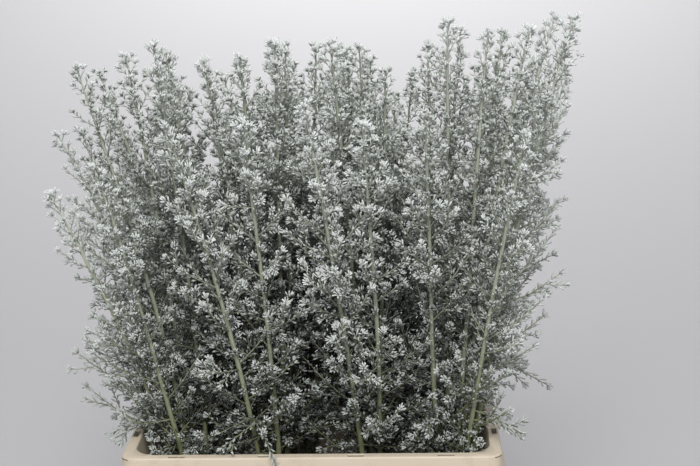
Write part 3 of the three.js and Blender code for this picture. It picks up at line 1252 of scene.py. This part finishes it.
@dataclass
class Container:
    """The cream container: floor, tapering wall and turned-over rim in one skin, and its two grips."""

    rim_length: float = 0.400
    rim_depth: float = 0.300
    wall: float = 0.003
    floor: float = 0.004
    base_inset: float = 0.025
    top_inset: float = 0.0095
    skirt: float = 0.035
    outer_corner: float = 0.013
    inner_corner: float = 0.024
    corner_steps: int = 14
    edge: float = 0.0007
    sharp: float = math.radians(32)
    seat_size: Point = (0.017, 0.005, 0.0036)
    grip_root: float = 0.188
    grip_sink: float = 0.001

    def wall_inset(self, height: float) -> float:
        """How far the wall's outside lies inside the rim's outline at a height."""
        return self.base_inset + (self.top_inset - self.base_inset) * height / RIM_TOP

    def section(self) -> Floats:
        """The skin's section from the underside, up the outside, over the rim and down to the floor.

        Returns:
            Rows of inset from the rim's outline, height and corner radius.
        """
        under_rim = RIM_TOP - self.wall
        skirt_foot = RIM_TOP - self.skirt
        outer = self.outer_corner
        inner = self.inner_corner
        return np.array([
            (self.wall_inset(0) + 0.004, 0.0, 0.026),
            (self.wall_inset(0.004), 0.004, 0.030),
            (self.wall_inset(under_rim), under_rim, inner + self.wall),
            (self.wall, under_rim, outer - self.wall),
            (self.wall, skirt_foot, outer - self.wall),
            (0.0, skirt_foot, outer),
            (0.0, RIM_TOP - 0.002, outer),
            (0.0005, RIM_TOP - 0.0007, outer - 0.0005),
            (0.0018, RIM_TOP, outer - 0.0018),
            (self.wall_inset(RIM_TOP) + 0.0016, RIM_TOP, inner + 0.001),
            (self.wall_inset(RIM_TOP) + 0.0025, RIM_TOP - 0.0006, inner + 0.0004),
            (self.wall_inset(RIM_TOP) + self.wall, RIM_TOP - 0.002, inner),
            (self.wall_inset(0.009) + self.wall, 0.009, inner),
            (self.wall_inset(0.004) + self.wall + 0.005, self.floor, inner - 0.005),
        ])

    def skin(self) -> bpy.types.Object:
        """The section carried round a rounded rectangle.

        In each quarter turn, a point is (sign x reach + radius x cos, sign x reach + radius x sin), where
        reach is half the side less the inset and the radius. The first and last rows are closed by one
        face each.

        Returns:
            The container's piece.
        """
        inset, height, radius = (column[:, None, None] for column in self.section().T)
        quarter = np.arange(4)[:, None]
        angle = (quarter + np.linspace(0, 1, self.corner_steps + 1)) * np.pi / 2
        sign_x = np.array([1, -1, -1, 1])[:, None]
        sign_y = np.array([1, 1, -1, -1])[:, None]
        x = sign_x * (self.rim_length / 2 - inset - radius) + radius * np.cos(angle)
        y = sign_y * (self.rim_depth / 2 - inset - radius) + radius * np.sin(angle)
        rows = len(inset)
        corners = np.stack([x, y, np.broadcast_to(height, x.shape)], axis=-1).reshape(-1, 3)
        around = len(corners) // rows
        start = np.arange(rows - 1)[:, None] * around
        here = np.arange(around)
        after = (here + 1) % around
        quads = np.stack([start + here, start + after, start + around + after, start + around + here], -1)
        faces = quads.reshape(-1, 4).tolist()
        faces.append(here[::-1].tolist())
        faces.append((here + (rows - 1) * around).tolist())
        return mesh_piece("container_shell", corners, faces)

    def seat_cutter(self) -> bpy.types.Object:
        """The seats' blocks, half sunk into the rim's top.

        Returns:
            One object that holds them all, to be removed after use.
        """
        shape = bmesh.new()
        block = Matrix.Diagonal((*self.seat_size, 1.0))
        for x, y, turn in seat_places():
            place = Matrix.Translation((x, y, RIM_TOP)) @ Matrix.Rotation(turn, 4, "Z") @ block
            bmesh.ops.create_cube(shape, size=1.0, matrix=place)
        mesh = bpy.data.meshes.new("seat_cutter")
        shape.to_mesh(mesh)
        shape.free()
        return placed("seat_cutter", mesh)

    def build_shell(self) -> bpy.types.Object:
        """The skin with its seats cut and its edges rounded.

        Returns:
            The container's piece.
        """
        piece = self.skin()
        cutter = self.seat_cutter()
        cut = piece.modifiers.new("seats", "BOOLEAN")
        cut.operation = "DIFFERENCE"
        cut.solver = "EXACT"
        cut.object = cutter
        cut_mesh = evaluated_mesh(piece)
        piece.modifiers.clear()
        piece.data = cut_mesh
        bpy.data.objects.remove(cutter)
        round_edges(piece, self.edge, self.sharp)
        return piece

    def build_grip(self, node: str) -> bpy.types.Object:
        """A merged copy of a packed grip with rounded edges, its root sunk a little into the wall.

        Args:
            node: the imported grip.

        Returns:
            The grip's piece.
        """
        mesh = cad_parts[node].data.copy()
        mesh.materials.clear()
        shape = bmesh.new()
        shape.from_mesh(mesh)
        bmesh.ops.remove_doubles(shape, verts=shape.verts, dist=1e-5)
        bmesh.ops.dissolve_limit(shape, angle_limit=math.radians(0.5), verts=shape.verts, edges=shape.edges)
        shape.to_mesh(mesh)
        shape.free()
        corners = np.empty(3 * len(mesh.vertices))
        mesh.vertices.foreach_get("co", corners)
        corners = corners.reshape(-1, 3)
        at_root = np.abs(corners[:, 0]) < self.grip_root
        corners[at_root, 0] -= np.sign(corners[at_root, 0]) * self.grip_sink
        mesh.vertices.foreach_set("co", corners.ravel())
        piece = placed(f"{node}_ledge", mesh)
        round_edges(piece, self.edge, self.sharp)
        return piece

    def build(self) -> dict[bpy.types.Object, tuple[str, ...]]:
        """Makes the container's pieces.

        Returns:
            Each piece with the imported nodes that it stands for.
        """
        pieces = {self.build_shell(): ("container", "container_floor")}
        for node in ("grip_right", "grip_left"):
            pieces[self.build_grip(node)] = (node,)
        return pieces

    def dress(self, pieces: dict[bpy.types.Object, tuple[str, ...]]) -> None:
        """Gives the container's pieces their finish and their place in the frame.

        Args:
            pieces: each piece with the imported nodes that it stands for.
        """
        plastic = CreamPlastic().material()
        for piece, nodes in pieces.items():
            piece.data.materials.clear()
            piece.data.materials.append(plastic)
            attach(piece, "root")
            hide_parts(*nodes)


@dataclass
class Bands:
    """The rubber bands round the stems' feet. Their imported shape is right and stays."""

    count: int = 8

    def dress(self) -> None:
        """Gives each band its rubber."""
        rubber = NaturalRubber().material()
        for number in range(1, self.count + 1):
            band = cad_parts[f"band_{number}"]
            band.data.materials.clear()
            band.data.materials.append(rubber)


@dataclass
class FallenLeaves:
    """Loose dry leaves that lie in the rim's seats."""

    per_seat: int = 3
    length: Pair = (0.0035, 0.0048)
    turn_scatter: float = 0.15
    slide: Pair = (-0.0055, 0.0035)
    half_thickness: float = 0.14
    tone: Pair = (0.02, 0.4)

    def build(self) -> bpy.types.Object:
        """Leaves flat on the seats' floors, turned at random along them.

        Returns:
            The leaves' piece.
        """
        rng = np.random.default_rng(SEED)
        seat = np.repeat(seat_places(), self.per_seat, axis=0)
        count = len(seat)
        length = rng.uniform(*self.length, count)
        turn = seat[:, 2] + rng.normal(0, self.turn_scatter, count)
        axis = np.column_stack([np.cos(turn), np.sin(turn), np.zeros(count)])
        slide = rng.uniform(*self.slide, count)[:, None]
        foot = np.column_stack([seat[:, :2], np.full(count, SEAT_FLOOR)]) + axis * slide
        foot[:, 2] += self.half_thickness * length
        leaves = Leaves(foot, axis, np.zeros((count, 3)), length, rng.uniform(*self.tone, count))
        return leaves.surface(LeafDetail.OUTER).piece("fallen_leaves")

    def dress(self, piece: bpy.types.Object, felt: bpy.types.Material) -> None:
        """Gives the leaves their finish and their place in the frame.

        Args:
            piece: the leaves' piece.
            felt: the leaves' material.
        """
        piece.data.materials.append(felt)
        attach(piece, "root")


# Studio

@dataclass(frozen=True)
class Viewpoint:
    """The photograph's camera, found from the rim's outline. Its image is 700 by 466 pixels."""

    place: Point = (0.106, -1.609, 0.881)
    azimuth: float = math.radians(2.33)
    elevation: float = math.radians(13.69)
    roll: float = math.radians(-1.33)
    focal_pixels: float = 1500.0
    image_width: float = 700.0
    sensor: float = 36.0

    def build(self) -> bpy.types.Object:
        """The camera, which looks along minus its back direction and is rolled about it.

        Returns:
            The camera, set as the scene's own.
        """
        back = np.array([
            math.sin(self.azimuth) * math.cos(self.elevation),
            -math.cos(self.azimuth) * math.cos(self.elevation),
            math.sin(self.elevation),
        ])
        level = unit(np.cross(-back, UP))
        upright = np.cross(level, -back)
        right = math.cos(self.roll) * level + math.sin(self.roll) * upright
        top = -math.sin(self.roll) * level + math.cos(self.roll) * upright
        data = bpy.data.cameras.new("photo_camera")
        data.sensor_width = self.sensor
        data.lens = self.focal_pixels / self.image_width * self.sensor
        camera = placed("photo_camera", data)
        facing = Matrix(np.column_stack([right, top, back]).tolist()).to_4x4()
        camera.matrix_world = Matrix.Translation(self.place) @ facing
        bpy.context.scene.camera = camera
        return camera


@dataclass(frozen=True)
class Lamp:
    """A square soft light: where it hangs, what it faces, its side and its power in watts."""

    name: str
    place: Point
    target: Point
    side: float
    power: float

    def build(self) -> None:
        """Hangs the light so that it faces its target."""
        data = bpy.data.lights.new(self.name, "AREA")
        data.size = self.side
        data.energy = self.power
        back = unit(np.array(self.place) - np.array(self.target))
        across, over = square_pair(back[None])
        facing = Matrix(np.column_stack([across[0], over[0], back]).tolist()).to_4x4()
        placed(self.name, data).matrix_world = Matrix.Translation(self.place) @ facing


@dataclass
class Studio:
    """A pale floor that sweeps up into a far wall, and soft light from the front and above."""

    sky: Colour = display(228, 229, 234)
    sky_strength: float = 0.2
    lamps: tuple[Lamp, ...] = (
        Lamp("key", (0.05, -2.0, 2.2), (0.0, 0.0, 0.45), 1.0, 67.0),
        Lamp("ceiling", (0.0, 0.0, 4.6), (0.0, 0.0, 0.0), 8.0, 190.0),
        Lamp("wall", (0.0, 3.6, 2.6), (0.0, 4.2, 0.8), 2.0, 92.0),
    )
    half_width: float = 9.0
    front: float = -7.0
    sweep_start: float = 1.2
    sweep_radius: float = 4.2
    wall_top: float = 6.0

    def build_backdrop(self) -> bpy.types.Object:
        """The floor and the wall as one sheet: a straight floor, a quarter circle, a straight wall.

        Returns:
            The sheet.
        """
        angle = np.linspace(0, np.pi / 2, 41)
        y = np.concatenate([[self.front], self.sweep_start + self.sweep_radius * np.sin(angle)])
        z = np.concatenate([[0.0], self.sweep_radius * (1 - np.cos(angle))])
        y = np.append(y, y[-1])
        z = np.append(z, self.wall_top)
        left = np.column_stack([np.full(len(y), -self.half_width), y, z])
        right = np.column_stack([np.full(len(y), self.half_width), y, z])
        corner = np.arange(len(y) - 1)
        faces = np.stack([corner, corner + len(y), corner + len(y) + 1, corner + 1], 1)
        sheet = mesh_piece("backdrop", np.concatenate([left, right]), faces.tolist())
        sheet.data.polygons.foreach_set("use_smooth", np.ones(len(faces), dtype=bool))
        sheet.data.materials.append(PaleBoard().material())
        return sheet

    def light(self) -> None:
        """Lights the world a little and evenly, and hangs the lamps."""
        scene = bpy.context.scene
        scene.view_settings.view_transform = "Standard"
        scene.world = bpy.data.worlds.new("studio")
        scene.world.use_nodes = True
        background = scene.world.node_tree.nodes["Background"]
        background.inputs["Color"].default_value = (*self.sky, 1.0)
        background.inputs["Strength"].default_value = self.sky_strength
        for lamp in self.lamps:
            lamp.build()


def main() -> None:
    """Builds the camera, the studio and each piece in order."""
    logging.basicConfig(level=logging.INFO, format="%(name)s: %(message)s")
    Viewpoint().build()
    studio = Studio()
    studio.build_backdrop()
    studio.light()
    log.info("camera, backdrop and lights")
    container = Container()
    container.dress(container.build())
    log.info("container")
    Bands().dress()
    log.info("bands")
    triangles = Foliage().build()
    log.info("foliage: %d triangles", triangles)
    fallen = FallenLeaves()
    fallen.dress(fallen.build(), bpy.data.materials["felted_leaf"])
    log.info("fallen leaves")


if __name__ == "__main__":
    main()
